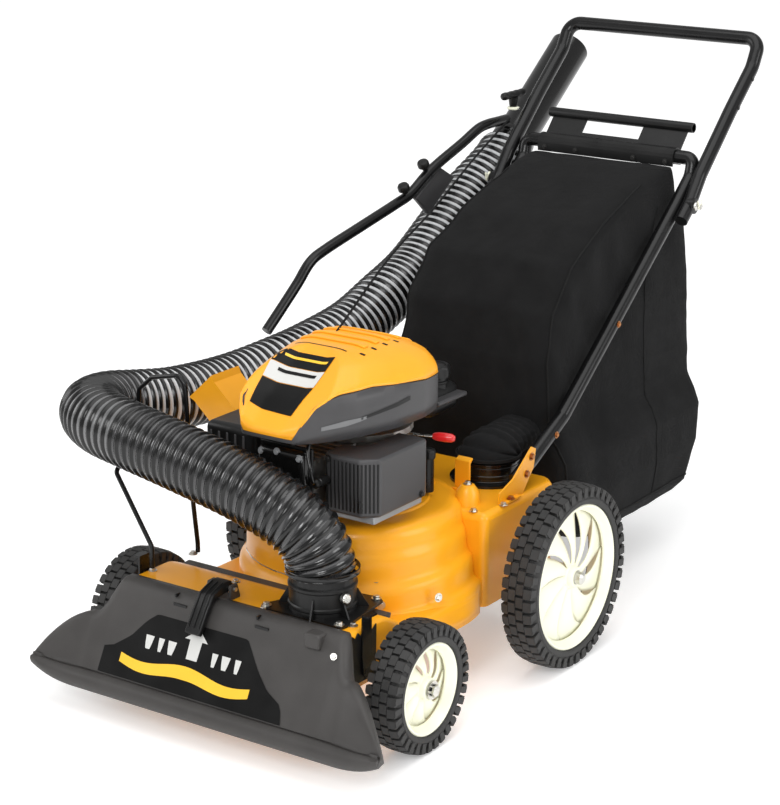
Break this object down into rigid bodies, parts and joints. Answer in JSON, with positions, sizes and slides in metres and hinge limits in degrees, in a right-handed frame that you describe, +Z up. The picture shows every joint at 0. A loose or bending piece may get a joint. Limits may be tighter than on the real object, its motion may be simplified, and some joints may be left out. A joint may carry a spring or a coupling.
{
  "type": "leaf vacuum mulcher",
  "caption": "Walk-behind leaf vacuum and mulcher with an engine-driven impeller, wide ground nozzle, suction hose, branch chute and hanging cloth bag.",
  "frame": {"origin": "centre of the bounding box's base, on the ground, measured without the hose and the starter rope", "axes": "+Z up; the ground nozzle faces -Y and the operator stands at the +Y end; +X is the side with the engine's muffler and throttle"},
  "size_m": [0.7679, 1.5128, 0.9354],
  "materials": {
    "yellow_paint": "semi-gloss",
    "charcoal_plastic": "satin",
    "black_plastic": "satin",
    "black_tube": "gloss",
    "tyre_rubber": "matte",
    "cream_rim": "satin",
    "zinc_steel": "satin",
    "cast_aluminium": "cast",
    "bag_cloth": "matte",
    "red_grip": "satin",
    "hose_black": "gloss"
  },
  "bodies": {
    "chassis": {"deck_housing": "yellow_paint", "impeller_inlet_plate": "zinc_steel", "duct_floor": "yellow_paint", "front_nozzle_hood": "charcoal_plastic", "mode_lever_bracket": "charcoal_plastic", "hose_port": "black_plastic", "hose_band": "zinc_steel", "vac_hose": "hose_black", "hose_rest_wire": "black_tube", "hose_wand": "black_plastic", "hose_rail": "black_tube", "rail_saddle": "black_tube", "rail_knob_1": "black_plastic", "rail_knob_2": "black_plastic", "chipper_chute": "yellow_paint", "engine_crankcase": "cast_aluminium", "engine_cylinder": "cast_aluminium", "valve_cover": "black_plastic", "spark_plug_boot": "black_plastic", "muffler_guard": "charcoal_plastic", "muffler": "zinc_steel", "air_filter_cover": "black_plastic", "shroud_skirt": "charcoal_plastic", "shroud_cover": "yellow_paint", "fuel_tank": "black_plastic", "oil_fill_tube": "black_plastic", "discharge_collar": "black_plastic", "lower_handle": "black_tube", "handle_bracket_left": "yellow_paint", "handle_bracket_right": "yellow_paint", "starter_rope": "black_plastic", "rear_axle": "zinc_steel", "height_index_left": "black_tube", "height_index_right": "black_tube"},
    "impeller_shaft": {"impeller": "zinc_steel", "crankshaft": "zinc_steel", "flywheel_fan": "cast_aluminium"},
    "mode_lever": {"mode_lever": "charcoal_plastic"},
    "diverter_door": {"diverter_door": "charcoal_plastic"},
    "fuel_cap": {"fuel_cap": "black_plastic"},
    "oil_cap": {"oil_cap": "black_plastic"},
    "throttle_lever": {"throttle_lever": "red_grip"},
    "bag_latch": {"bag_latch": "yellow_paint"},
    "bag": {"bag_shell": "bag_cloth", "bag_hanger": "black_tube"},
    "upper_handle": {"upper_handle": "black_tube", "rope_guide": "cream_rim"},
    "fold_knob_left": {"fold_knob_left": "cream_rim"},
    "fold_knob_right": {"fold_knob_right": "cream_rim"},
    "starter_grip": {"starter_grip": "black_plastic"},
    "rear_wheel_left": {"tyre_rear_left": "tyre_rubber", "rim_rear_left": "cream_rim"},
    "rear_wheel_right": {"tyre_rear_right": "tyre_rubber", "rim_rear_right": "cream_rim"},
    "height_arm_left": {"height_lever_left": "black_tube"},
    "height_arm_right": {"height_lever_right": "black_tube"},
    "front_wheel_left": {"tyre_front_left": "tyre_rubber", "rim_front_left": "cream_rim"},
    "front_wheel_right": {"tyre_front_right": "tyre_rubber", "rim_front_right": "cream_rim"}
  },
  "joints": [
    {"name": "impeller_spin", "type": "hinge", "parent": "chassis", "child": "impeller_shaft", "pos_m": [0, -0.3364, 0.3], "axis": [0, 0, 1], "continuous": true},
    {"name": "mode_lever_turn", "type": "hinge", "parent": "chassis", "child": "mode_lever", "pos_m": [-0.04, -0.6344, 0.217], "axis": [1, 0, 0], "range_deg": [-80, 0]},
    {"name": "diverter_turn", "type": "hinge", "parent": "chassis", "child": "diverter_door", "pos_m": [0, -0.5264, 0.188], "axis": [1, 0, 0], "range_deg": [0, 40]},
    {"name": "fuel_cap_turn", "type": "hinge", "parent": "chassis", "child": "fuel_cap", "pos_m": [0.036, -0.1684, 0.46], "axis": [0, 0, 1], "range_deg": [0, 90]},
    {"name": "oil_cap_turn", "type": "hinge", "parent": "chassis", "child": "oil_cap", "pos_m": [0.096, -0.2764, 0.356], "axis": [0, 0, 1], "range_deg": [0, 90]},
    {"name": "throttle_turn", "type": "hinge", "parent": "chassis", "child": "throttle_lever", "pos_m": [0.052, -0.3024, 0.393], "axis": [0, 0, 1], "range_deg": [0, 40]},
    {"name": "bag_latch_turn", "type": "hinge", "parent": "chassis", "child": "bag_latch", "pos_m": [0.1, -0.1794, 0.279], "axis": [1, 0, 0], "range_deg": [0, 60], "stiffness_Nm_per_rad": 0.03},
    {"name": "bag_lift", "type": "slide", "parent": "chassis", "child": "bag", "axis": [0, 0, 1], "range_m": [0, 0.035]},
    {"name": "handle_fold", "type": "hinge", "parent": "chassis", "child": "upper_handle", "pos_m": [0, 0.3906, 0.66], "axis": [1, 0, 0], "range_deg": [0, 135], "deforming": ["starter_rope", "vac_hose"]},
    {"name": "fold_knob_left_turn", "type": "hinge", "parent": "upper_handle", "child": "fold_knob_left", "pos_m": [0.22, 0.3906, 0.66], "axis": [1, 0, 0], "continuous": true},
    {"name": "fold_knob_right_turn", "type": "hinge", "parent": "upper_handle", "child": "fold_knob_right", "pos_m": [-0.22, 0.3906, 0.66], "axis": [1, 0, 0], "continuous": true},
    {"name": "starter_pull", "type": "slide", "parent": "upper_handle", "child": "starter_grip", "axis": [0, 0, 1], "range_m": [0, 0.3]},
    {"name": "rear_wheel_left_spin", "type": "hinge", "parent": "chassis", "child": "rear_wheel_left", "pos_m": [0.2772, -0.1464, 0.1524], "axis": [1, 0, 0], "continuous": true},
    {"name": "height_left_turn", "type": "hinge", "parent": "chassis", "child": "height_arm_left", "pos_m": [0.215, -0.6084, 0.135], "axis": [1, 0, 0], "range_deg": [-8, 8]},
    {"name": "front_wheel_left_spin", "type": "hinge", "parent": "height_arm_left", "child": "front_wheel_left", "pos_m": [0.2679, -0.557, 0.1016], "axis": [1, 0, 0], "continuous": true},
    {"name": "rear_wheel_right_spin", "type": "hinge", "parent": "chassis", "child": "rear_wheel_right", "pos_m": [-0.2772, -0.1464, 0.1524], "axis": [1, 0, 0], "continuous": true},
    {"name": "height_right_turn", "type": "hinge", "parent": "chassis", "child": "height_arm_right", "pos_m": [-0.215, -0.6084, 0.135], "axis": [1, 0, 0], "range_deg": [-8, 8]},
    {"name": "front_wheel_right_spin", "type": "hinge", "parent": "height_arm_right", "child": "front_wheel_right", "pos_m": [-0.2679, -0.557, 0.1016], "axis": [1, 0, 0], "continuous": true}
  ],
  "couplings": [
    {"joint": "diverter_turn", "follows": "mode_lever_turn", "ratio": -0.5}
  ]
}
